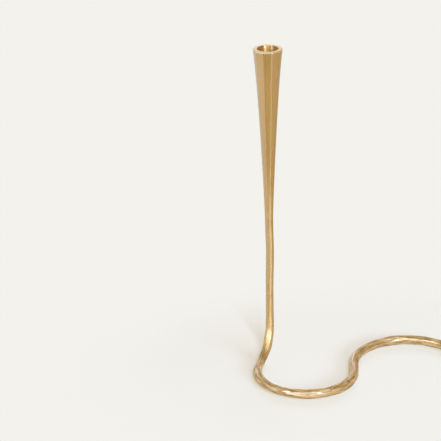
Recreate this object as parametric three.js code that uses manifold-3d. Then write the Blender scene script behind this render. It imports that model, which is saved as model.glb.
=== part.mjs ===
// Candle stand for one taper candle: a flared, ten-sided brass head on a slim stem, which turns
// through a heel and snakes along the table as a wave-shaped foot.
// Millimetres and degrees. +Z is up, +X runs along the wave, and -Y is the front.

import * as THREE from 'three';
import { mergeVertices } from 'three/addons/utils/BufferGeometryUtils.js';
import Module from 'manifold-3d';

const wasm = await Module();
wasm.setup();

// Whole stand
const standHeight = 356; // to the inner edge of the rim

// Head: a cored casting that flares from the neck to the rim
const headLength = 191;
const rimRadius = 15.9; // to the corners between the flats
const lipDrop = 0.2; // fall of the rim from the bore to the outer edge
const flareDepth = 42; // depth at which the flare's curve is steered, and its radius there
const flareRadius = 10.2;
const neckRadius = 4.5;
const neckEase = 8; // length over which the flare runs into the neck
const flatCount = 10;
const flatTurn = -2; // one corner's bearing from +X
const flatFade = 45; // length above the neck over which the flats become round

// Candle socket and the cored hollow under it
const candleBore = 22.5; // diameter, for a 22 mm taper
const candleDepth = 22;
const floorThickness = 2;
const coreDepth = 125; // from the rim to the end of the hollow
const coreWall = 3;

// Rod: round in the stem, an upright oval in the foot
const waistRadius = 4.3; // at the foot of the stem
const footWidth = 8.8;
const footHeight = 10.1;
const groundFlat = 0.4; // ground off the underside so that the foot sits still
const tipLength = 4;

// Route of the rod, from the stem down the heel and along the wave
const heelRadius = 37;
const heelBearing = 251; // bearing from +X of the rod as it leaves the heel
const frontRadius = 52.5;
const frontTurn = 195;
const flankLength = 19;
const backRadius = 61;
const backTurn = 172;
const tailRadius = 52.5;
const tailTurn = 150;

// Joints between the cast lengths of rod
const stemJointRise = 28; // above the start of the heel
const frontJointLead = 18; // past the start of the back bend
const brazeGap = 0.3;
const studDiameter = 5;
const studLength = 30;
const dowelDiameter = 4;
const dowelLength = 16;
const pinChamfer = 0.5;
const pinClearance = 0.25;
const floorClearance = 0.2;

// Fineness of the facets
const rodSides = 20;
const rodStep = 7;
const roundSides = 40;
const pinSides = 20;
const headSteps = 18;
const coreSteps = 8;

const radians = THREE.MathUtils.degToRad;
const upward = new THREE.Vector3(0, 0, 1);
const downward = new THREE.Vector3(0, 0, -1);

// Solids

function toSolid(geometry) {
  const bare = geometry.clone();
  bare.deleteAttribute('normal');
  bare.deleteAttribute('uv');
  const merged = mergeVertices(bare, 1e-4);
  const mesh = new wasm.Mesh({
    numProp: 3,
    vertProperties: new Float32Array(merged.attributes.position.array),
    triVerts: new Uint32Array(merged.index.array),
  });
  return new wasm.Manifold(mesh);
}

function toGeometry(solid) {
  const mesh = solid.getMesh();
  const geometry = new THREE.BufferGeometry();
  geometry.setAttribute('position', new THREE.BufferAttribute(mesh.vertProperties, 3));
  geometry.setIndex(new THREE.BufferAttribute(mesh.triVerts, 1));
  geometry.computeVertexNormals();
  return geometry;
}

function cutAway(geometry, cutters) {
  return toGeometry(cutters.reduce((solid, cutter) => solid.subtract(toSolid(cutter)), toSolid(geometry)));
}

// Closed skin over rings of equal count, each running counter-clockwise about the way ahead.
function loft(rings, startPoint, endPoint) {
  const count = rings[0].length;
  const points = [...rings.flat(), startPoint, endPoint];
  const startIndex = rings.length * count;
  const endIndex = startIndex + 1;
  const lastRing = (rings.length - 1) * count;
  const faces = [];
  for (let j = 0; j < count; j += 1) {
    const next = (j + 1) % count;
    faces.push(startIndex, next, j);
    faces.push(endIndex, lastRing + j, lastRing + next);
    for (let row = 0; row < lastRing; row += count) {
      faces.push(row + j, row + next, row + count + next);
      faces.push(row + j, row + count + next, row + count + j);
    }
  }
  const geometry = new THREE.BufferGeometry().setFromPoints(points);
  geometry.setIndex(faces);
  return geometry;
}

// Solid of revolution about +Z from points of radius and height, the first and last on the axis.
function turned(profile, sides) {
  const outline = profile.map(([radius, height]) => new THREE.Vector2(radius, height));
  return new THREE.LatheGeometry(outline, sides).rotateX(Math.PI / 2);
}

// Route

function straight(start, along, length) {
  const at = (distance) => ({ point: start.clone().addScaledVector(along, distance), along });
  return { length, at };
}

// Arc that sets out along one direction and turns towards another, square to it.
function bend(start, along, inward, radius, turn) {
  const at = (distance) => {
    const angle = distance / radius;
    const point = start.clone()
      .addScaledVector(along, radius * Math.sin(angle))
      .addScaledVector(inward, radius * (1 - Math.cos(angle)));
    const ahead = along.clone()
      .multiplyScalar(Math.cos(angle))
      .addScaledVector(inward, Math.sin(angle));
    return { point, along: ahead };
  };
  return { length: radius * radians(turn), at };
}

const footLevel = footHeight / 2 - groundFlat; // middle of the rod above the table
const neckLevel = standHeight - headLength;
const stemRun = neckLevel - heelRadius - footLevel;
const heelAhead = new THREE.Vector3(Math.cos(radians(heelBearing)), Math.sin(radians(heelBearing)), 0);
const heelSide = upward.clone().cross(heelAhead);

function layRoute() {
  const runs = [];
  const end = () => {
    const last = runs[runs.length - 1];
    return last.at(last.length);
  };
  const toLeft = (along) => upward.clone().cross(along);
  const addStraight = (length) => runs.push(straight(end().point, end().along, length));
  const addBend = (radius, turn, side) => {
    const { point, along } = end();
    runs.push(bend(point, along, toLeft(along).multiplyScalar(side), radius, turn));
  };
  runs.push(straight(new THREE.Vector3(0, 0, neckLevel), downward, stemRun));
  runs.push(bend(end().point, downward, heelAhead, heelRadius, 90));
  addBend(frontRadius, frontTurn, 1);
  addStraight(flankLength);
  addBend(backRadius, backTurn, -1);
  addStraight(flankLength);
  addBend(tailRadius, tailTurn, 1);
  return runs;
}

const route = layRoute();
const startOf = (count) => route.slice(0, count).reduce((sum, run) => sum + run.length, 0);

function routeAt(distance) {
  let left = distance;
  let index = 0;
  while (index < route.length - 1 && left > route[index].length) {
    left -= route[index].length;
    index += 1;
  }
  const { point, along } = route[index].at(left);
  const side = upward.clone().cross(along);
  if (side.length() < 1e-6) side.copy(heelSide);
  side.normalize();
  return { point, along, side, top: along.clone().cross(side) };
}

const stemJoint = stemRun - stemJointRise;
const heelJoint = startOf(2);
const frontJoint = startOf(4) + frontJointLead;
const backJoint = startOf(5);
const rodEnd = startOf(route.length);

// Rod

// Half width and half height of the rod's section.
function sectionAt(distance) {
  const mix = THREE.MathUtils.lerp;
  const stemShare = THREE.MathUtils.clamp(distance / stemJoint, 0, 1);
  const heelShare = THREE.MathUtils.clamp((distance - stemJoint) / (heelJoint - stemJoint), 0, 1);
  const stemRadius = mix(neckRadius, waistRadius, stemShare);
  return [mix(stemRadius, footWidth / 2, heelShare), mix(stemRadius, footHeight / 2, heelShare)];
}

// One ring of the section, with its underside ground flat at the table.
function rodRing(distance, share) {
  const { point, side, top } = routeAt(distance);
  const [halfWidth, halfHeight] = sectionAt(distance);
  return Array.from({ length: rodSides }, (_, j) => {
    const angle = (2 * Math.PI * j) / rodSides - Math.PI / 2;
    const corner = point.clone()
      .addScaledVector(side, share * halfWidth * Math.cos(angle))
      .addScaledVector(top, share * halfHeight * Math.sin(angle));
    corner.z = Math.max(corner.z, 0);
    return corner;
  });
}

function rodLength(from, to, hasTip) {
  const bodyEnd = hasTip ? to - tipLength : to;
  const steps = Math.ceil((bodyEnd - from) / rodStep);
  const rings = Array.from({ length: steps + 1 }, (_, i) => rodRing(from + ((bodyEnd - from) * i) / steps, 1));
  if (hasTip) {
    for (const angle of [25, 50, 70]) {
      rings.push(rodRing(bodyEnd + tipLength * Math.sin(radians(angle)), Math.cos(radians(angle))));
    }
  }
  return loft(rings, routeAt(from).point, routeAt(to).point);
}

// Round pin lying along the rod, centred on a joint.
function pin(distance, diameter, length, chamfer) {
  const radius = diameter / 2;
  const half = length / 2;
  const profile = [[0, -half], [radius - chamfer, -half], [radius, chamfer - half]];
  profile.push([radius, half - chamfer], [radius - chamfer, half], [0, half]);
  const { point, along } = routeAt(distance);
  const turn = new THREE.Quaternion().setFromUnitVectors(upward, along);
  return turned(profile, pinSides).applyQuaternion(turn).translate(point.x, point.y, point.z);
}

// Head

const flareCurve = new THREE.CubicBezierCurve(
  new THREE.Vector2(rimRadius, lipDrop),
  new THREE.Vector2(flareRadius, flareDepth),
  new THREE.Vector2(neckRadius, headLength - neckEase),
  new THREE.Vector2(neckRadius, headLength),
);
const flarePoints = flareCurve.getPoints(headSteps);
const flatShare = Math.cos(Math.PI / flatCount); // across the flats, against across the corners
const boreRadius = candleBore / 2;

// Radius to the corners at a depth below the rim.
function flareAt(depth) {
  const above = flarePoints.findLastIndex((spot, i) => i < headSteps && spot.y <= depth);
  const [upper, lower] = [flarePoints[above], flarePoints[above + 1]];
  return THREE.MathUtils.mapLinear(depth, upper.y, lower.y, upper.x, lower.x);
}

function headRing(radius, depth) {
  const flatness = THREE.MathUtils.smoothstep(headLength - depth, 0, flatFade);
  const sides = roundSides;
  const flatAngle = (2 * Math.PI) / flatCount;
  return Array.from({ length: sides }, (_, j) => {
    const angle = (-2 * Math.PI * j) / sides;
    const fromFlat = THREE.MathUtils.euclideanModulo(angle, flatAngle) - flatAngle / 2;
    const reach = radius * THREE.MathUtils.lerp(1, flatShare / Math.cos(fromFlat), flatness);
    const bearing = angle + radians(flatTurn);
    return new THREE.Vector3(reach * Math.cos(bearing), reach * Math.sin(bearing), standHeight - depth);
  });
}

function candleHead() {
  const footDepth = headLength - brazeGap / 2;
  const depths = flarePoints.slice(0, -1).map((spot) => [spot.x, spot.y]);
  depths.push([neckRadius, footDepth]);
  const rings = depths.map(([radius, depth]) => headRing(radius, depth));
  const crownRise = (lipDrop * boreRadius) / (rimRadius - boreRadius); // the rim's slope, carried on to the axis
  const crown = new THREE.Vector3(0, 0, standHeight + crownRise);
  const foot = new THREE.Vector3(0, 0, standHeight - footDepth);
  return loft(rings, crown, foot);
}

const seatDepth = candleDepth + floorThickness + brazeGap;

// Candle bore with the cored hollow below its seat, which follows the flats at an even wall.
function socketCutter() {
  const overshoot = boreRadius;
  const profile = [[0, overshoot], [boreRadius, overshoot], [boreRadius, -seatDepth]];
  for (let i = 0; i <= coreSteps; i += 1) {
    const depth = THREE.MathUtils.lerp(seatDepth, coreDepth, i / coreSteps);
    profile.push([flareAt(depth) * flatShare - coreWall, -depth]);
  }
  profile.push([0, -coreDepth]);
  return turned(profile.reverse(), roundSides).translate(0, 0, standHeight);
}

function socketFloor() {
  const radius = boreRadius - floorClearance;
  const half = floorThickness / 2;
  const profile = [[0, -half], [radius, -half], [radius, half], [0, half]];
  return turned(profile, roundSides).translate(0, 0, standHeight - candleDepth - half);
}

// Assembly

const pins = [
  { name: 'neck_stud', joint: 0, diameter: studDiameter, length: studLength },
  { name: 'stem_dowel', joint: stemJoint, diameter: dowelDiameter, length: dowelLength },
  { name: 'heel_dowel', joint: heelJoint, diameter: dowelDiameter, length: dowelLength },
  { name: 'front_dowel', joint: frontJoint, diameter: dowelDiameter, length: dowelLength },
  { name: 'back_dowel', joint: backJoint, diameter: dowelDiameter, length: dowelLength },
];

const lengths = [
  { name: 'stem_rod', from: 0, to: stemJoint, color: 0xb8935c, roughness: 0.3 },
  { name: 'heel_bend', from: stemJoint, to: heelJoint, color: 0xb99a68, roughness: 0.42 },
  { name: 'front_bend', from: heelJoint, to: frontJoint, color: 0xbb9a5f, roughness: 0.42 },
  { name: 'back_bend', from: frontJoint, to: backJoint, color: 0xbb9a5f, roughness: 0.42 },
  { name: 'tail_bend', from: backJoint, to: rodEnd, hasTip: true, color: 0xbb9a5f, roughness: 0.42 },
];

function pinHole({ joint, diameter, length }) {
  return pin(joint, diameter + 2 * pinClearance, length + 2 * pinClearance, 0);
}

const holes = pins.map(pinHole);
const stand = new THREE.Group();

function place(name, geometry, color, roughness) {
  const finish = new THREE.MeshStandardMaterial({ color, roughness, metalness: 1 });
  const mesh = new THREE.Mesh(geometry, finish);
  mesh.name = name;
  stand.add(mesh);
}

place('candle_head', cutAway(candleHead(), [socketCutter(), holes[0]]), 0xb88f58, 0.38);
place('socket_floor', socketFloor(), 0xb08840, 0.2);

lengths.forEach(({ name, from, to, hasTip, color, roughness }, i) => {
  const end = hasTip ? to : to - brazeGap / 2;
  const ends = holes.slice(i, i + 2);
  place(name, cutAway(rodLength(from + brazeGap / 2, end, hasTip), ends), color, roughness);
});

for (const { name, joint, diameter, length } of pins) {
  place(name, pin(joint, diameter, length, pinChamfer), 0xa8864e, 0.5);
}

// The part's origin is on the table, under the middle of its outer box.
const middle = new THREE.Box3().setFromObject(stand).getCenter(new THREE.Vector3());
stand.position.set(-middle.x, -middle.y, 0);

export default stand;
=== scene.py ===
import math

import bpy
import numpy as np
from mathutils import Matrix, Vector


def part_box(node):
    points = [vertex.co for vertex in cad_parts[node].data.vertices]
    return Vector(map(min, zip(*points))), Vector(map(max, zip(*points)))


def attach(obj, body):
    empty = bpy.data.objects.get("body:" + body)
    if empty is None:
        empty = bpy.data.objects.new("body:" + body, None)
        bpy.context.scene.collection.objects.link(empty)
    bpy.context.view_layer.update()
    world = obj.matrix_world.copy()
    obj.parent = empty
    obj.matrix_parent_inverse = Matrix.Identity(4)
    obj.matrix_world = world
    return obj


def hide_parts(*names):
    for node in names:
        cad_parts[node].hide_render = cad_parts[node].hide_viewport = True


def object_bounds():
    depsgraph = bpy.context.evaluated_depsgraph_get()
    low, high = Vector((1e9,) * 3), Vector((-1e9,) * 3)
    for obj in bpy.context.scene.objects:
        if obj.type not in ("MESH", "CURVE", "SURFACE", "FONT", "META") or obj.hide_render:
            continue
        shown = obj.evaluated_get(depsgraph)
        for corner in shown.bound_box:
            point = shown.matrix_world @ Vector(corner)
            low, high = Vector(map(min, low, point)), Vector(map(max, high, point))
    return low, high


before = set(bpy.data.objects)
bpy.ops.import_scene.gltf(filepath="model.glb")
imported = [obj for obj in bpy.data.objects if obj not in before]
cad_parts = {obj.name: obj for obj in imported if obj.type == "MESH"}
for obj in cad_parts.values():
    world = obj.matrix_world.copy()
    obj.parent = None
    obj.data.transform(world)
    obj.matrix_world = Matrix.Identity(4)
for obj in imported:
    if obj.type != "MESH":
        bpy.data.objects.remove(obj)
cadLow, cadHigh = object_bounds()
print("frame loaded:", len(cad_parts), "nodes")

mm = 0.001
scene = bpy.context.scene
rng = np.random.default_rng(11)  # one seed, so every run gives the same hand marks

# the stem stands where the frame has its socket floor
seatLow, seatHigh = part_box("socket_floor")
stemSpot = np.array([(seatLow.x + seatHigh.x) / 2, (seatLow.y + seatHigh.y) / 2, 0.0])
seatLevel = seatHigh.z
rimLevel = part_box("candle_head")[1].z


# camera

shot = {
    "frameSide": 441,  # the picture's side in pixels
    "lensPixels": 1800,  # focal length, in pixels of the picture
    "sensor": 36.0,
    "rimPixel": (267.62, 48.37),  # where the middle of the rim lies in the picture
    "rimDistance": 1.8746,
    "downTilt": 22.603,
    "roll": -1.11,
}


def setCamera():
    tilt = math.radians(shot["downTilt"])
    roll = math.radians(shot["roll"])
    ahead = Vector((0, math.cos(tilt), -math.sin(tilt)))
    level = Vector((1, 0, 0))
    above = Vector((0, math.sin(tilt), math.cos(tilt)))
    across = level * math.cos(roll) + above * math.sin(roll)
    upright = above * math.cos(roll) - level * math.sin(roll)
    offX, offY = [(p - shot["frameSide"] / 2) / shot["lensPixels"] for p in shot["rimPixel"]]
    rim = Vector((stemSpot[0], stemSpot[1], rimLevel))
    place = rim - shot["rimDistance"] * (ahead + offX * across - offY * upright)
    data = bpy.data.cameras.new("shot")
    data.sensor_width = shot["sensor"]
    data.lens = shot["sensor"] * shot["lensPixels"] / shot["frameSide"]
    camera = bpy.data.objects.new("shot", data)
    turn = Matrix((across, upright, -ahead)).transposed().to_4x4()
    camera.matrix_world = Matrix.Translation(place) @ turn
    scene.collection.objects.link(camera)
    scene.camera = camera


setCamera()
print("camera set")


# brass finishes

def findInput(made, key):
    # i0, i1 and so on count the inputs, any other key is an input's name
    if key[0] == "i" and key[1:].isdigit():
        return made.inputs[int(key[1:])]
    return made.inputs[key]


def addNode(tree, kind, settings=None, **inputs):
    made = tree.nodes.new(kind)
    for key, value in (settings or {}).items():
        setattr(made, key, value)
    for key, value in inputs.items():
        socket = findInput(made, key)
        if isinstance(value, bpy.types.NodeSocket):
            tree.links.new(value, socket)
        else:
            socket.default_value = value
    return made


def mixColour(tree, share, below, above):
    mixed = addNode(tree, "ShaderNodeMix", {"data_type": "RGBA"}, i0=share, i6=below, i7=above)
    return mixed.outputs[2]


brassLooks = {
    "head": {
        "colour": (0.488, 0.297, 0.086),
        "deep": (0.428, 0.252, 0.062),
        "roughness": (0.55, 0.65),
        "streaks": (12, 60),  # per metre along the work, and per turn around it
        "grain": (40, 900),
        "grainDepth": 0.012 * mm,
        "coat": {"weight": (0.85, 1.0), "roughness": 0.19, "index": 2.2},
        "turning": 0.0,
        "neck": {"colour": (0.50, 0.31, 0.089), "coat": 0.78},  # near the stem's, so no seam shows
    },
    "lip": {
        "colour": (0.70, 0.51, 0.27),
        "deep": (0.64, 0.46, 0.23),
        "roughness": (0.40, 0.48),
        "streaks": (300, 20),
        "grain": (300, 300),
        "grainDepth": 0.008 * mm,
        "coat": {"weight": (0.6, 0.8), "roughness": 0.28, "index": 1.7},
        "turning": 0.0,
    },
    "bore": {
        "colour": (0.76, 0.51, 0.18),
        "deep": (0.72, 0.47, 0.155),
        "roughness": (0.42, 0.46),
        "streaks": (900, 3),
        "grain": (700, 1),
        "grainDepth": 0.0005 * mm,
        "coat": {"weight": (0.0, 0.05), "roughness": 0.30, "index": 1.5},
        "turning": 1.0,
    },
    "stem": {
        "colour": (0.525, 0.332, 0.10),
        "deep": (0.46, 0.28, 0.075),
        "roughness": (0.48, 0.56),
        "streaks": (25, 16),
        "grain": (30, 700),
        "grainDepth": 0.008 * mm,
        "coat": {"weight": (0.70, 0.85), "roughness": 0.19, "index": 2.2},
        "turning": 0.0,
    },
    "foot": {
        "colour": (0.64, 0.425, 0.13),
        "deep": (0.35, 0.195, 0.042),
        "roughness": (0.72, 0.84),
        "streaks": (80, 11),
        "grain": (170, 26),
        "grainDepth": 0.045 * mm,
        "coat": {"weight": (0.35, 1.0), "roughness": 0.20, "index": 2.8},
        "turning": 0.0,
    },
    "pin": {
        "colour": (0.50, 0.33, 0.12),
        "deep": (0.44, 0.28, 0.10),
        "roughness": (0.35, 0.45),
        "streaks": (40, 20),
        "grain": (60, 600),
        "grainDepth": 0.01 * mm,
        "coat": {"weight": (0.4, 0.6), "roughness": 0.30, "index": 1.6},
        "turning": 0.0,
    },
}
brassWear = {
    "noiseSpan": (0.36, 0.64),  # most of a noise lies between these
    "streakDetail": 3.0,
    "grainDetail": 4.0,
    "patchDetail": 4.0,
    "patchScale": 160.0,
    "polishedRub": 0.8,  # how brightly the polished stem is rubbed, all over
    # the stain colour is also the colour of the painted shade on the heel
    "pitStainAndShade": (0.24, 0.12, 0.03),
}


def makeBrass(name):
    look = brassLooks[name]
    finish = bpy.data.materials.new("brass_" + name)
    finish.use_nodes = True
    tree = finish.node_tree
    shader = tree.nodes["Principled BSDF"]
    where = addNode(tree, "ShaderNodeTexCoord")

    def noise(place, scale, detail):
        made = addNode(tree, "ShaderNodeTexNoise", Vector=place, Scale=scale, Detail=detail)
        return made.outputs["Fac"]

    def alongWork(scale, detail):
        # noise drawn out along the work
        stretch = addNode(tree, "ShaderNodeMapping", Vector=where.outputs["UV"], Scale=(*scale, 1))
        return noise(stretch.outputs["Vector"], 1.0, detail)

    def remap(value, before, after):
        ranged = addNode(tree, "ShaderNodeMapRange", Value=value)
        for key, number in zip(("From Min", "From Max", "To Min", "To Max"), (*before, *after)):
            ranged.inputs[key].default_value = number
        return ranged.outputs["Result"]

    # ridges rubbed bright and hollows left deep where the rod is dressed, stained in the pits, and darkened
    # by painted shade in a band on the heel
    dressed = addNode(tree, "ShaderNodeAttribute", {"attribute_name": "dressed"}).outputs["Fac"]
    streaks = alongWork(look["streaks"], brassWear["streakDetail"])
    ridges = remap(streaks, brassWear["noiseSpan"], (0, 1))
    rubbed = addNode(tree, "ShaderNodeMix", i0=dressed, i2=brassWear["polishedRub"], i3=ridges).outputs[0]
    colour = mixColour(tree, rubbed, (*look["deep"], 1), (*look["colour"], 1))
    if "neck" in look:
        nearNeck = addNode(tree, "ShaderNodeAttribute", {"attribute_name": "nearNeck"}).outputs["Fac"]
        colour = mixColour(tree, nearNeck, colour, (*look["neck"]["colour"], 1))
    # this mask holds the casting pits and the painted shade on the heel
    pits = addNode(tree, "ShaderNodeAttribute", {"attribute_name": "pitsAndHeelShade"}).outputs["Fac"]
    stainedAndShaded = mixColour(tree, pits, colour, (*brassWear["pitStainAndShade"], 1))
    tree.links.new(stainedAndShaded, shader.inputs["Base Color"])
    # the coat is thin in the hollows and gone from the pits and from the painted shade on the heel
    clean = addNode(tree, "ShaderNodeMath", {"operation": "SUBTRACT"}, i0=1.0, i1=pits)
    thick = remap(rubbed, (0, 1), look["coat"]["weight"])
    if "neck" in look:
        thick = addNode(tree, "ShaderNodeMix", i0=nearNeck, i2=thick, i3=look["neck"]["coat"]).outputs[0]
    coat = addNode(tree, "ShaderNodeMath", {"operation": "MULTIPLY"}, i0=clean.outputs[0], i1=thick)
    tree.links.new(coat.outputs[0], shader.inputs["Coat Weight"])
    # patches that took the polish differently
    patches = noise(where.outputs["Object"], brassWear["patchScale"], brassWear["patchDetail"])
    rough = remap(patches, brassWear["noiseSpan"], look["roughness"])
    tree.links.new(rough, shader.inputs["Roughness"])
    # fine dressing marks
    grain = alongWork(look["grain"], brassWear["grainDetail"])
    marks = addNode(tree, "ShaderNodeBump", Height=grain, Strength=1.0)
    marks.inputs["Distance"].default_value = look["grainDepth"]
    tree.links.new(marks.outputs["Normal"], shader.inputs["Normal"])
    shader.inputs["Metallic"].default_value = 1.0
    shader.inputs["Coat Roughness"].default_value = look["coat"]["roughness"]
    shader.inputs["Coat IOR"].default_value = look["coat"]["index"]
    if look["turning"]:
        # turning lines draw the highlights out along the bore
        lines = addNode(tree, "ShaderNodeTangent", {"direction_type": "UV_MAP", "uv_map": "work"})
        tree.links.new(lines.outputs["Tangent"], shader.inputs["Tangent"])
        shader.inputs["Anisotropic"].default_value = look["turning"]
    return finish


finishes = {name: makeBrass(name) for name in brassLooks}
print("finishes:", len(finishes))


# route of the rod, the same as in the solids

route = {
    "headLength": 191 * mm,
    "heelRadius": 37 * mm,
    "heelTurn": 90,
    "heelBearing": 251,
    "frontRadius": 52.5 * mm,
    "frontTurn": 195,
    "flank": 19 * mm,
    "backRadius": 61 * mm,
    "backTurn": 172,
    "tailRadius": 52.5 * mm,
    "tailTurn": 150,
    "level": 4.65 * mm,  # middle of the rod above the table
    "plumb": 1e-6,  # the rod counts as upright where it leans less than this
}
upward = np.array([0.0, 0.0, 1.0])
heelAngle = math.radians(route["heelBearing"])
heelAhead = np.array([math.cos(heelAngle), math.sin(heelAngle), 0.0])


def bendRun(start, ahead, inward, radius, turn):
    length = radius * math.radians(turn)
    return {"start": start, "ahead": ahead, "inward": inward, "radius": radius, "length": length}


def straightRun(start, ahead, length):
    return {"start": start, "ahead": ahead, "inward": None, "radius": None, "length": length}


def alongRun(run, travel):
    travel = np.atleast_1d(travel)[:, None]
    if run["radius"] is None:
        return run["start"] + travel * run["ahead"], np.repeat(run["ahead"][None], len(travel), 0)
    angle = travel / run["radius"]
    reach = np.sin(angle) * run["ahead"] + (1 - np.cos(angle)) * run["inward"]
    ahead = np.cos(angle) * run["ahead"] + np.sin(angle) * run["inward"]
    return run["start"] + run["radius"] * reach, ahead


def layRuns():
    neck = stemSpot + upward * (rimLevel - route["headLength"])
    stemRun = neck[2] - route["heelRadius"] - route["level"]
    runs = [straightRun(neck, -upward, stemRun)]

    def lastEnd():
        points, aheads = alongRun(runs[-1], runs[-1]["length"])
        return points[0], aheads[0]

    runs.append(bendRun(lastEnd()[0], -upward, heelAhead, route["heelRadius"], route["heelTurn"]))
    for bend, side in (("front", 1), ("back", -1), ("tail", 1)):
        point, ahead = lastEnd()
        inward = side * np.cross(upward, ahead)
        runs.append(bendRun(point, ahead, inward, route[bend + "Radius"], route[bend + "Turn"]))
        if bend != "tail":
            point, ahead = lastEnd()
            runs.append(straightRun(point, ahead, route["flank"]))
    return runs


runs = layRuns()  # stem, heel, front, flank, back, flank, tail
runStarts = np.concatenate([[0], np.cumsum([run["length"] for run in runs])])


def followRoute(distances):
    points = np.zeros((len(distances), 3))
    aheads = np.zeros((len(distances), 3))
    which = np.clip(np.searchsorted(runStarts, distances, side="right") - 1, 0, len(runs) - 1)
    for index, run in enumerate(runs):
        mine = which == index
        if mine.any():
            points[mine], aheads[mine] = alongRun(run, distances[mine] - runStarts[index])
    sides = np.cross(upward, aheads)
    leans = np.linalg.norm(sides, axis=1)
    sides[leans < route["plumb"]] = np.cross(upward, heelAhead)
    sides /= np.linalg.norm(sides, axis=1)[:, None]
    return points, aheads, sides, np.cross(aheads, sides)


# closed skin over rings of points

sharpFrom = math.radians(50)  # an edge that turns more than this stays crisp


def skinRings(name, rings, lengthwise, poles, materials, bands):
    ringCount, around, _ = rings.shape
    points = np.concatenate([rings.reshape(-1, 3), np.array(poles)])
    first, last = ringCount * around, ringCount * around + 1
    faces, maps, slots = [], [], []
    for i in range(ringCount - 1):
        here, there = lengthwise[i], lengthwise[i + 1]
        for j in range(around):
            k = (j + 1) % around
            a, b = j / around, (j + 1) / around
            faces.append((i * around + j, i * around + k, (i + 1) * around + k, (i + 1) * around + j))
            maps.extend([(here, a), (here, b), (there, b), (there, a)])
            slots.append(bands[i])
    for j in range(around):
        k = (j + 1) % around
        a, b = j / around, (j + 1) / around
        faces.append((first, k, j))
        maps.extend([(lengthwise[0], a), (lengthwise[0], b), (lengthwise[0], a)])
        slots.append(bands[0])
        end = (ringCount - 1) * around
        faces.append((last, end + j, end + k))
        maps.extend([(lengthwise[-1], a), (lengthwise[-1], a), (lengthwise[-1], b)])
        slots.append(bands[-1])
    mesh = bpy.data.meshes.new(name)
    mesh.from_pydata(points.tolist(), [], faces)
    layer = mesh.uv_layers.new(name="work")
    layer.data.foreach_set("uv", np.array(maps, np.float32).ravel())
    for material in materials:
        mesh.materials.append(material)
    mesh.polygons.foreach_set("material_index", slots)
    mesh.polygons.foreach_set("use_smooth", [True] * len(faces))
    mesh.update()
    mesh.set_sharp_from_angle(angle=sharpFrom)
    piece = bpy.data.objects.new(name, mesh)
    scene.collection.objects.link(piece)
    return piece


def markPoints(piece, name, values):
    layer = piece.data.attributes.new(name, "FLOAT", "POINT")
    layer.data.foreach_set("value", np.asarray(values, np.float32))


def settle(piece, node):
    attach(piece, "root")
    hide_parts(node)


# rod

rod = {
    "around": 80,
    "step": 0.9 * mm,
    "neckRadius": 4.5 * mm,
    "waistRadius": 4.3 * mm,
    "footHalfWidth": 4.4 * mm,
    "footHalfHeight": 5.05 * mm,
    "stemJointRise": 28 * mm,
    "frontJointLead": 18 * mm,
    "tipLength": 4 * mm,
    "tipAngles": (8, 84),  # of the rings on the rounded end
    "tipRings": 14,
    "stemEvenness": 0.25,  # share of the foot's unevenness that the polished stem keeps
    "polishLead": 45 * mm,  # the polish runs out over this length before the table
    "polishEnd": 158 * mm,  # and is gone here, along the rod from the neck
    "stainDepth": 0.25 * mm,
}
pins = {
    "clearance": 0.25 * mm,
    "studRadius": 2.5 * mm,
    "studHalf": 15 * mm,
    "dowelRadius": 2.0 * mm,
    "dowelHalf": 8 * mm,
}
stemJoint = runStarts[1] - rod["stemJointRise"]
heelJoint = runStarts[2]
frontJoint = runStarts[4] + rod["frontJointLead"]
backJoint = runStarts[5]
rodEnd = runStarts[-1]
rodAngles = np.arange(rod["around"]) * 2 * math.pi / rod["around"] - math.pi / 2

# hand marks: filed flats and hammer marks, as random waves along and around the rod
handMarks = [
    {"count": 16, "length": (50 * mm, 140 * mm), "turns": (3, 7), "depth": 0.09 * mm},
    {"count": 30, "length": (22 * mm, 60 * mm), "turns": (1, 6), "depth": 0.06 * mm},
    {"count": 40, "length": (6 * mm, 14 * mm), "turns": (0, 7), "depth": 0.016 * mm},
    {"count": 40, "length": (18 * mm, 45 * mm), "turns": (5, 11), "depth": 0.05 * mm},
    {"count": 60, "length": (10 * mm, 24 * mm), "turns": (9, 16), "depth": 0.02 * mm},
]

# where the rod was left thicker or drawn thinner, along it from the neck
swells = [
    {"along": 145 * mm, "length": 20 * mm, "rise": 0.60 * mm},
    {"along": 177 * mm, "length": 13 * mm, "rise": -0.48 * mm},
    {"along": 245 * mm, "length": 20 * mm, "rise": -0.20 * mm},
    {"along": 290 * mm, "length": 10 * mm, "rise": 0.25 * mm},
    {"along": 322 * mm, "length": 16 * mm, "rise": 0.55 * mm},
    {"along": 372 * mm, "length": 18 * mm, "rise": 0.40 * mm},
    {"along": 456 * mm, "length": 12 * mm, "rise": 0.20 * mm},
    {"along": 500 * mm, "length": 9 * mm, "rise": 0.35 * mm},
]

# where it strays from the true route: the stem bows to the right and the heel cuts its corner
bows = [
    {"along": 42 * mm, "length": 27 * mm, "stray": (0.7 * mm, 0, 0)},
    {"along": 135 * mm, "length": 28 * mm, "stray": (0, -2.5 * mm, 0)},
    {"along": 168 * mm, "length": 12 * mm, "stray": (-0.75 * mm, 0, 0.2 * mm)},
]

# casting pits, along the rod from the neck and around it from its inner flank
castingPits = [
    {"along": 305 * mm, "around": 135, "length": 0.8 * mm, "width": 0.7 * mm, "depth": 0.30 * mm},
    {"along": 309 * mm, "around": 130, "length": 0.9 * mm, "width": 0.8 * mm, "depth": 0.30 * mm},
    {"along": 329 * mm, "around": 125, "length": 1.8 * mm, "width": 1.1 * mm, "depth": 0.30 * mm},
    {"along": 409 * mm, "around": 75, "length": 6.0 * mm, "width": 0.6 * mm, "depth": 0.30 * mm},
    {"along": 505 * mm, "around": 170, "length": 0.8 * mm, "width": 0.8 * mm, "depth": 0.30 * mm},
    {"along": 511 * mm, "around": 172, "length": 0.9 * mm, "width": 0.7 * mm, "depth": 0.30 * mm},
]

# painted shade: a darker band across the heel where the bend faces away from the bright lamps, just past
# where the polish runs out
heelShade = {"along": 168 * mm, "length": 10 * mm, "share": 0.5}


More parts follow.
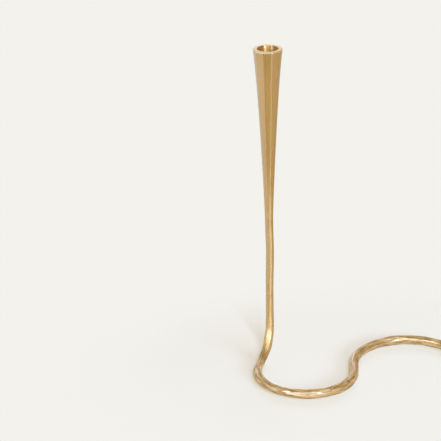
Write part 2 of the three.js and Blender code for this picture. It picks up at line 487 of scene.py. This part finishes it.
def drawWaves():
    waves = []
    for group in handMarks:
        lowTurns, highTurns = group["turns"]
        for _ in range(group["count"]):
            waves.append({
                "pitch": 2 * math.pi / rng.uniform(*group["length"]),
                "turns": int(rng.integers(lowTurns, highTurns + 1)) * int(rng.choice([-1, 1])),
                "phase": rng.uniform(0, 2 * math.pi),
                "depth": group["depth"] * math.sqrt(2 / group["count"]),
            })
    return waves


waves = drawWaves()


def bump(distances, mark):
    return np.exp(-((distances - mark["along"]) / mark["length"]) ** 2)


def unevenness(distances, angles):
    field = np.zeros((len(distances), len(angles)))
    for wave in waves:
        swing = wave["pitch"] * distances[:, None] + wave["turns"] * angles[None, :] + wave["phase"]
        field += wave["depth"] * np.cos(swing)
    share = np.interp(distances, [stemJoint, heelJoint], [rod["stemEvenness"], 1.0])
    field *= share[:, None]
    for swell in swells:
        field += swell["rise"] * bump(distances, swell)[:, None]
    return field


def pitDepth(distances, angles):
    depth = np.zeros((len(distances), len(angles)))
    for pit in castingPits:
        gap = np.angle(np.exp(1j * (angles - math.radians(pit["around"])))) * rod["footHalfWidth"]
        alongPit = (distances[:, None] - pit["along"]) / pit["length"]
        acrossPit = gap[None, :] / pit["width"]
        depth += pit["depth"] * np.exp(-(alongPit ** 2 + acrossPit ** 2))
    return depth


def rodRings(distances, share):
    points, _, sides, tops = followRoute(distances)
    for bow in bows:
        points = points + bump(distances, bow)[:, None] * np.array(bow["stray"])
    stations = [0, stemJoint, heelJoint]
    roundPart = [rod["neckRadius"], rod["waistRadius"]]
    halfWidth = np.interp(distances, stations, [*roundPart, rod["footHalfWidth"]])
    halfHeight = np.interp(distances, stations, [*roundPart, rod["footHalfHeight"]])
    pits = pitDepth(distances, rodAngles)
    lift = unevenness(distances, rodAngles) - pits
    reachSide = (halfWidth[:, None] + lift) * np.cos(rodAngles) * share[:, None]
    reachTop = (halfHeight[:, None] + lift) * np.sin(rodAngles) * share[:, None]
    rings = points[:, None] + reachSide[..., None] * sides[:, None] + reachTop[..., None] * tops[:, None]
    # the underside is ground flat, and nothing stands past the solids' outer box
    return np.clip(rings, cadLow, cadHigh), pits


def pinHole(distance, radius, half, inward):
    points, aheads, sides, tops = followRoute(np.array([distance]))
    circle = radius * (np.cos(rodAngles)[:, None] * sides[0] + np.sin(rodAngles)[:, None] * tops[0])
    bottom = points[0] + inward * half * aheads[0]
    return np.stack([circle + bottom, circle + points[0]]), bottom


def makeRod(name, start, end, startPin, endPin, looks):
    hasTip = endPin is None
    bodyEnd = end - rod["tipLength"] if hasTip else end
    distances = np.linspace(start, bodyEnd, int((bodyEnd - start) / rod["step"]) + 2)
    share = np.ones(len(distances))
    if hasTip:
        turn = np.radians(np.linspace(*rod["tipAngles"], rod["tipRings"]))
        distances = np.concatenate([distances, bodyEnd + rod["tipLength"] * np.sin(turn)])
        share = np.concatenate([share, np.cos(turn)])
    body, pits = rodRings(distances, share)
    startHole, startPole = pinHole(start, *startPin, 1)
    rings, lengthwise = [startHole, body], [start, start, *distances]
    if hasTip:
        endPole = followRoute(np.array([end]))[0][0]
    else:
        endHole, endPole = pinHole(end, *endPin, -1)
        rings.append(endHole[::-1])
        lengthwise += [end, end]
    rings = np.concatenate(rings)
    bands = [int(len(looks) > 1 and travel > rod["polishEnd"]) for travel in lengthwise]
    materials = [finishes[look] for look in looks]
    piece = skinRings(name, rings, lengthwise, [startPole, endPole], materials, bands)
    pitsAndHeelShade = np.zeros((len(rings), rod["around"]))
    # the heel's painted shade is added to the pit stain here
    stainAndShade = pits / rod["stainDepth"] + heelShade["share"] * bump(distances, heelShade)[:, None]
    first = len(startHole)
    pitsAndHeelShade[first:first + len(distances)] = np.clip(stainAndShade, 0, 1)
    markPoints(piece, "pitsAndHeelShade", [*pitsAndHeelShade.ravel(), 0, 0])
    dressed = np.interp(lengthwise, [heelJoint - rod["polishLead"], heelJoint], [0, 1])
    markPoints(piece, "dressed", [*np.repeat(dressed, rod["around"]), 0, 0])
    return piece


stud = (pins["studRadius"] + pins["clearance"], pins["studHalf"] + pins["clearance"])
dowel = (pins["dowelRadius"] + pins["clearance"], pins["dowelHalf"] + pins["clearance"])
# each piece with its start and end along the rod, the pins there and its finishes
rodPieces = [
    ("stem_rod", 0.0, stemJoint, stud, dowel, ["stem"]),
    ("heel_bend", stemJoint, heelJoint, dowel, dowel, ["stem", "foot"]),
    ("front_bend", heelJoint, frontJoint, dowel, dowel, ["foot"]),
    ("back_bend", frontJoint, backJoint, dowel, dowel, ["foot"]),
    ("tail_bend", backJoint, rodEnd, dowel, None, ["foot"]),
]
for node, start, end, startPin, endPin, looks in rodPieces:
    piece = makeRod(node + "_dressed", start, end, startPin, endPin, looks)
    piece.visible_diffuse = False  # keeps warm patches of thrown light off the table
    settle(piece, node)
print("rod pieces:", len(rodPieces))


# head

head = {
    "around": 200,
    "rimRadius": 15.9 * mm,  # to the corners
    "lipDrop": 0.2 * mm,  # fall of the rim from the bore to the outer edge
    "lipDome": 0.04 * mm,
    "flareDepth": 42 * mm,
    "flareRadius": 10.2 * mm,
    "neckEase": 8 * mm,
    "flats": 10,
    "turn": -2,  # of the flats about the axis
    "fade": 45 * mm,  # above the neck, where the flats run out and the finish turns into the stem's
    "crispness": 55,  # how sharp the corners between the flats are
    "flareRings": 90,
    "edge": 0.04 * mm,  # softened edge of the rim
    "boreEdge": 0.4 * mm,
    "boreRadius": 11.25 * mm,
    "seatDepth": 24.3 * mm,
    "coreDepth": 125 * mm,
    "coreWall": 3 * mm,
    "coreRings": 24,
    "boreRings": 30,
    "lipRings": 10,
    "boreEdgeAngles": (22, 45, 68),
    "rimEdgeAngles": (18, 36, 54, 72),
}
apothem = math.cos(math.pi / head["flats"])  # middle of a flat, where a corner is 1


def flarePoints(count):
    t = np.linspace(0, 1, count)[:, None]
    corners = np.array([
        (head["rimRadius"], head["lipDrop"]),
        (head["flareRadius"], head["flareDepth"]),
        (rod["neckRadius"], route["headLength"] - head["neckEase"]),
        (rod["neckRadius"], route["headLength"]),
    ])
    weights = np.hstack([(1 - t) ** 3, 3 * (1 - t) ** 2 * t, 3 * (1 - t) * t ** 2, t ** 3])
    return weights @ corners


def flatSided(radius, depth, angles):
    # ten flats with softened corners, running out to round at the neck
    middles = (np.arange(head["flats"]) + 0.5) * 2 * math.pi / head["flats"]
    facing = np.maximum(np.cos(angles[:, None] - middles[None, :]), 0)
    sided = apothem / np.sum(facing ** head["crispness"], axis=1) ** (1 / head["crispness"])
    x = np.clip((route["headLength"] - depth) / head["fade"], 0, 1)
    flatness = x * x * (3 - 2 * x)
    return radius * (1 + flatness * (sided - 1))


def headRing(reach, depth, angles):
    spin = angles + math.radians(head["turn"])
    x, y = reach * np.cos(spin), reach * np.sin(spin)
    z = np.full(len(angles), rimLevel - depth)
    return np.stack([x, y, z], 1) + stemSpot


def makeHead():
    angles = -np.arange(head["around"]) * 2 * math.pi / head["around"]  # the skin runs downward
    flare = flarePoints(head["flareRings"])
    rings, lengthwise, bands = [], [], []
    outside, lip, bore = range(3)

    def add(reach, depth, band):
        rings.append(headRing(reach * np.ones(len(angles)), depth, angles))
        lengthwise.append(depth)
        bands.append(band)

    # cored hollow from its end up to the seat, then the bore
    for depth in np.linspace(head["coreDepth"], head["seatDepth"], head["coreRings"]):
        corner = np.interp(depth, flare[:, 1], flare[:, 0])
        add(corner * apothem - head["coreWall"], depth, bore)
    for depth in np.linspace(head["seatDepth"], head["boreEdge"], head["boreRings"]):
        add(head["boreRadius"], depth, bore)
    for step in np.radians(head["boreEdgeAngles"]):
        reach = head["boreRadius"] + head["boreEdge"] * (1 - math.cos(step))
        add(reach, head["boreEdge"] * (1 - math.sin(step)), lip)
    # the lip, domed a little and falling to the outer edge
    lipReach = head["boreRadius"] + head["boreEdge"]
    rimReach = flatSided(head["rimRadius"] - head["edge"], 0, angles)
    for share in np.linspace(0, 1, head["lipRings"]):
        fall = share * head["lipDrop"] - 4 * share * (1 - share) * head["lipDome"]
        add((1 - share) * lipReach + share * rimReach, max(fall, 0), lip)
    for step in np.radians(head["rimEdgeAngles"]):
        radius = head["rimRadius"] - head["edge"] * (1 - math.sin(step))
        add(flatSided(radius, 0, angles), head["lipDrop"] + head["edge"] * (1 - math.cos(step)), lip)
    # down the flare to the neck, and up the stud's hole
    for radius, depth in flare:
        if depth >= head["lipDrop"] + head["edge"]:
            add(flatSided(radius, depth, angles), depth, outside)
    hole = pins["studRadius"] + pins["clearance"]
    top = route["headLength"] - pins["studHalf"] - pins["clearance"]
    add(hole, route["headLength"], outside)
    add(hole, top, outside)
    axis = stemSpot + upward * rimLevel
    poles = [axis - upward * head["coreDepth"], axis - upward * top]
    materials = [finishes["head"], finishes["lip"], finishes["bore"]]
    piece = skinRings("candle_head_dressed", np.array(rings), lengthwise, poles, materials, bands)
    markPoints(piece, "dressed", np.ones(len(piece.data.vertices)))
    nearNeck = np.interp(lengthwise, [route["headLength"] - head["fade"], route["headLength"]], [0, 1])
    markPoints(piece, "nearNeck", [*np.repeat(nearNeck, head["around"]), 0, 0])
    return piece


headPiece = makeHead()
settle(headPiece, "candle_head")
print("head made")


# socket floor, turned with a soft edge

floorDisc = {
    "around": 96,
    "radius": 11.05 * mm,
    "thickness": 2 * mm,
    "edge": 0.3 * mm,
    "dish": 0.25 * mm,
    "underShares": (0.3, 0.6, 0.9),  # of the radius, for the rings below
    "edgeAngles": (0, 30, 60, 90),
    "topShares": (0.95, 0.85, 0.7, 0.5, 0.3, 0.1),
}


def makeFloorDisc():
    angles = np.arange(floorDisc["around"]) * 2 * math.pi / floorDisc["around"]
    edge, radius = floorDisc["edge"], floorDisc["radius"]
    profile = [(radius * share, -floorDisc["thickness"]) for share in floorDisc["underShares"]]
    profile += [(radius - edge, -floorDisc["thickness"]), (radius, edge - floorDisc["thickness"])]
    for step in np.radians(floorDisc["edgeAngles"]):
        profile.append((radius - edge * (1 - math.cos(step)), -edge * (1 - math.sin(step))))
    for share in floorDisc["topShares"]:
        profile.append(((radius - edge) * share, -floorDisc["dish"] * (1 - share ** 2)))
    middle = stemSpot + upward * seatLevel
    circle = np.stack([np.cos(angles), np.sin(angles), np.zeros(len(angles))], 1)
    rings = np.array([reach * circle + height * upward for reach, height in profile]) + middle
    poles = [middle - upward * floorDisc["thickness"], middle - upward * floorDisc["dish"]]
    lengthwise = [reach for reach, _ in profile]
    bands = [0] * len(rings)
    piece = skinRings("socket_floor_turned", rings, lengthwise, poles, [finishes["bore"]], bands)
    markPoints(piece, "dressed", np.ones(len(piece.data.vertices)))
    return piece


settle(makeFloorDisc(), "socket_floor")

# stud and dowels stay as the solids, in drawn bar
for node in ("neck_stud", "stem_dowel", "heel_dowel", "front_dowel", "back_dowel"):
    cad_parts[node].data.materials.clear()
    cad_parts[node].data.materials.append(finishes["pin"])
print("socket floor and pins made")


# stage

stage = {
    "pale": (0.896, 0.888, 0.847),  # the table's colour in the picture
    "shading": (0.72, 0.84, 1.0),  # share of its own shading that shows near the stand
    "fade": (0.17, 0.32),  # the shading thins out between these distances from the stand
    "reach": (0.8, 1.3, 1.0),  # the distance counts less along the foot than across it
    "size": 16.0,
    "room": 0.15,
    "roomTint": (1.33, 1.12, 0.42),  # warm room light fills the shadows of the cooler lamps
    "backdrop": 0.65,
    "aimHeight": 0.1,  # the lamps point at the stem, this far up
    "clothHeight": 2 * mm,
    "clothSteps": 13,  # points along a cloth's curved edge
}
tints = {
    "lamp": (0.96, 0.99, 1.12),
    "front": (0.96, 1.0, 0.86),
    "pale": (0.9, 0.98, 1.25),  # of the box that makes the highlight on the heel
    "gold": (1.0, 0.78, 0.5),  # of the sheets on the right
    "cool": (0.8, 1.0, 1.7),  # of the strips that light the bore
    "white": (1.0, 1.0, 1.0),
}


def showsBackground(tree):
    path = addNode(tree, "ShaderNodeLightPath")
    seen = addNode(tree, "ShaderNodeMath", {"operation": "MAXIMUM"})
    tree.links.new(path.outputs["Is Camera Ray"], seen.inputs[0])
    tree.links.new(path.outputs["Is Glossy Ray"], seen.inputs[1])
    both = addNode(tree, "ShaderNodeMath", {"operation": "MAXIMUM"})
    tree.links.new(seen.outputs[0], both.inputs[0])
    tree.links.new(path.outputs["Is Transmission Ray"], both.inputs[1])
    return both.outputs[0]


def makeTable():
    half = stage["size"] / 2
    mesh = bpy.data.meshes.new("table")
    corners = [(-half, -half, 0), (half, -half, 0), (half, half, 0), (-half, half, 0)]
    mesh.from_pydata(corners, [], [(0, 1, 2, 3)])
    table = bpy.data.objects.new("table", mesh)
    scene.collection.objects.link(table)
    finish = bpy.data.materials.new("pale_table")
    finish.use_nodes = True
    tree = finish.node_tree
    tree.nodes.remove(tree.nodes["Principled BSDF"])
    output = tree.nodes["Material Output"]
    shaded = [p * s for p, s in zip(stage["pale"], stage["shading"])]
    even = [p * (1 - s) for p, s in zip(stage["pale"], stage["shading"])]
    matt = addNode(tree, "ShaderNodeBsdfDiffuse", Color=(*stage["pale"], 1))
    nearMatt = addNode(tree, "ShaderNodeBsdfDiffuse", Color=(*shaded, 1))
    nearGlow = addNode(tree, "ShaderNodeEmission", Color=(*even, 1))
    near = addNode(tree, "ShaderNodeAddShader")
    tree.links.new(nearMatt.outputs[0], near.inputs[0])
    tree.links.new(nearGlow.outputs[0], near.inputs[1])
    far = addNode(tree, "ShaderNodeEmission", Color=(*stage["pale"], 1))
    where = addNode(tree, "ShaderNodeTexCoord")
    drawn = addNode(tree, "ShaderNodeVectorMath", {"operation": "MULTIPLY"}, i0=where.outputs["Object"])
    drawn.inputs[1].default_value = stage["reach"]
    reach = addNode(tree, "ShaderNodeVectorMath", {"operation": "LENGTH"}, i0=drawn.outputs[0])
    away = addNode(tree, "ShaderNodeMapRange", {"interpolation_type": "SMOOTHSTEP"})
    tree.links.new(reach.outputs["Value"], away.inputs["Value"])
    away.inputs["From Min"].default_value = stage["fade"][0]
    away.inputs["From Max"].default_value = stage["fade"][1]
    lifted = addNode(tree, "ShaderNodeMixShader", Fac=away.outputs["Result"])
    tree.links.new(near.outputs[0], lifted.inputs[1])
    tree.links.new(far.outputs[0], lifted.inputs[2])
    pick = addNode(tree, "ShaderNodeMixShader", Fac=showsBackground(tree))
    tree.links.new(matt.outputs[0], pick.inputs[1])
    tree.links.new(lifted.outputs[0], pick.inputs[2])
    tree.links.new(pick.outputs[0], output.inputs["Surface"])
    mesh.materials.append(finish)


def setWorld():
    world = bpy.data.worlds.new("studio")
    scene.world = world
    world.use_nodes = True
    tree = world.node_tree
    room = tree.nodes["Background"]
    room.inputs["Color"].default_value = (*stage["roomTint"], 1)
    room.inputs["Strength"].default_value = stage["room"]
    backdrop = addNode(tree, "ShaderNodeBackground", Color=(*stage["pale"], 1), Strength=stage["backdrop"])
    pick = addNode(tree, "ShaderNodeMixShader", Fac=showsBackground(tree))
    tree.links.new(room.outputs[0], pick.inputs[1])
    tree.links.new(backdrop.outputs[0], pick.inputs[2])
    tree.links.new(pick.outputs[0], tree.nodes["World Output"].inputs["Surface"])


# softboxes, standing cards and cloths on the table, with bearings from the camera side to the right
# a level is what the metal sees, a share is of the light that falls on the table
softboxes = [
    {"name": "lowBox", "bearing": 3, "height": 17, "distance": 5.2, "size": (9.0, 2.9), "level": 2.3,
     "tint": "pale"},
    {"name": "highBox", "bearing": 12, "height": 50, "distance": 5.2, "size": (7.0, 3.5), "level": 1.1},
    {"name": "slimBox", "bearing": -12, "height": 62, "distance": 5.2, "size": (4.0, 0.8), "level": 3.0},
    {"name": "keyBox", "bearing": 9, "height": 34, "distance": 18.0, "size": (4.2, 4.0), "share": 0.34},
    {"name": "sideBox", "bearing": 36, "height": 18, "distance": 18.0, "size": (16.0, 4.0), "share": 0.20},
    {"name": "overBox", "bearing": 72, "height": 60, "distance": 18.0, "size": (12.0, 12.0), "share": 0.23},
    {"name": "backBox", "bearing": 172, "height": 26, "distance": 18.0, "size": (8.0, 5.0), "share": 0.10},
]
# the cards, strips and cloths show in the metal alone
cards = [
    {"name": "leftCard", "bearing": -75, "distance": 1.2, "width": 1.2, "rise": (0, 0.8), "level": 1.3},
    {"name": "darkCard", "bearing": 130, "distance": 0.8, "width": 1.1, "rise": (0, 0.5), "level": 0.75,
     "tint": "gold"},
    {"name": "backCard", "bearing": 180, "distance": 2.0, "width": 3.0, "rise": (0, 1.3), "level": 1.4},
    {"name": "shadeCard", "bearing": -55, "distance": 2.0, "width": 3.2, "rise": (1.9, 6.5), "level": 0.12},
    {"name": "rightWindowCard", "bearing": 27, "distance": 2.5, "width": 0.5, "rise": (0.5, 2.2),
     "level": 10.0},
    {"name": "leftWindowCard", "bearing": -46, "distance": 2.5, "width": 0.5, "rise": (0.5, 2.2),
     "level": 9.0},
]
strips = [
    {"name": "stripCard", "bearing": 27, "distance": 2.5, "width": 0.8, "rise": (1.5, 3.6), "level": 8.5,
     "tint": "cool"},
    {"name": "thinCard", "bearing": -51, "distance": 2.5, "width": 0.8, "rise": (1.5, 3.6), "level": 9.5,
     "tint": "cool"},
]
cloths = [
    {"name": "frontCloth", "bearings": (-40, 8), "reach": (0.41, 2.4), "level": 0.0},
    {"name": "bayCloth", "bearings": (2, 44), "reach": (0.045, 0.09), "level": 4.0},
    {"name": "leftCloth", "bearings": (-60, -14), "reach": (0.12, 0.225), "level": 0.3},
    {"name": "glowCloth", "bearings": (24, 36), "reach": (0.135, 0.5), "level": 2.6},
    {"name": "runCloth", "bearings": (-6, 24), "reach": (0.12, 0.17), "level": 1.6},
    {"name": "rightCloth", "bearings": (60, 150), "reach": (0.24, 1.2), "level": 0.65, "tint": "gold"},
]


def toward(bearing):
    a = math.radians(bearing)
    return Vector((math.sin(a), -math.cos(a), 0))


def addSoftbox(box):
    width, depth = box["size"]
    lift = math.radians(box["height"])
    away = toward(box["bearing"]) * math.cos(lift) + Vector((0, 0, math.sin(lift)))
    data = bpy.data.lights.new(box["name"], "AREA")
    data.shape = "RECTANGLE"
    data.size, data.size_y = width, depth
    if "share" in box:
        data.energy = box["share"] * (math.pi * box["distance"]) ** 2 / math.sin(lift)
        data.color = tints["lamp"]
    else:
        data.energy = box["level"] * math.pi * width * depth
        data.color = tints[box.get("tint", "front")]
    lamp = bpy.data.objects.new(box["name"], data)
    aim = Vector((stemSpot[0], stemSpot[1], stage["aimHeight"]))
    lamp.location = aim + away * box["distance"]
    lamp.rotation_euler = away.to_track_quat("Z", "Y").to_euler()
    lamp.visible_camera = False
    lamp.visible_diffuse = "share" in box  # the metal sees the front boxes, the table the others
    lamp.visible_glossy = "level" in box
    scene.collection.objects.link(lamp)


def addGlow(sheet, corners):
    name = sheet["name"]
    mesh = bpy.data.meshes.new(name)
    mesh.from_pydata(corners, [], [tuple(range(len(corners)))])
    finish = bpy.data.materials.new(name)
    finish.use_nodes = True
    tree = finish.node_tree
    tree.nodes.remove(tree.nodes["Principled BSDF"])
    tint = tints[sheet.get("tint", "white")]
    glow = addNode(tree, "ShaderNodeEmission", Color=(*tint, 1), Strength=sheet["level"])
    tree.links.new(glow.outputs[0], tree.nodes["Material Output"].inputs["Surface"])
    mesh.materials.append(finish)
    thing = bpy.data.objects.new(name, mesh)
    thing.visible_camera = False
    thing.visible_diffuse = False
    thing.visible_shadow = False
    scene.collection.objects.link(thing)
    return thing


def addCard(card):
    across = toward(card["bearing"] + 90) * card["width"] / 2
    middle = Vector(stemSpot) + toward(card["bearing"]) * card["distance"]
    low, high = [Vector((0, 0, height)) for height in card["rise"]]
    corners = [middle - across + low, middle + across + low, middle + across + high, middle - across + high]
    return addGlow(card, corners)


def addCloth(cloth):
    near, far = cloth["reach"]
    middle = Vector(stemSpot) + Vector((0, 0, stage["clothHeight"]))
    spread = np.linspace(*cloth["bearings"], stage["clothSteps"])
    corners = [middle + toward(b) * near for b in spread]
    corners += [middle + toward(b) * far for b in spread[::-1]]
    addGlow(cloth, corners)


makeTable()
setWorld()
for box in softboxes:
    addSoftbox(box)
for card in cards:
    addCard(card)
# two strips light the bore of the head alone
forHead = bpy.data.collections.new("forHead")
forHead.objects.link(headPiece)
for strip in strips:
    addCard(strip).light_linking.receiver_collection = forHead
for cloth in cloths:
    addCloth(cloth)
scene.view_settings.view_transform = "Standard"
print("stage set")
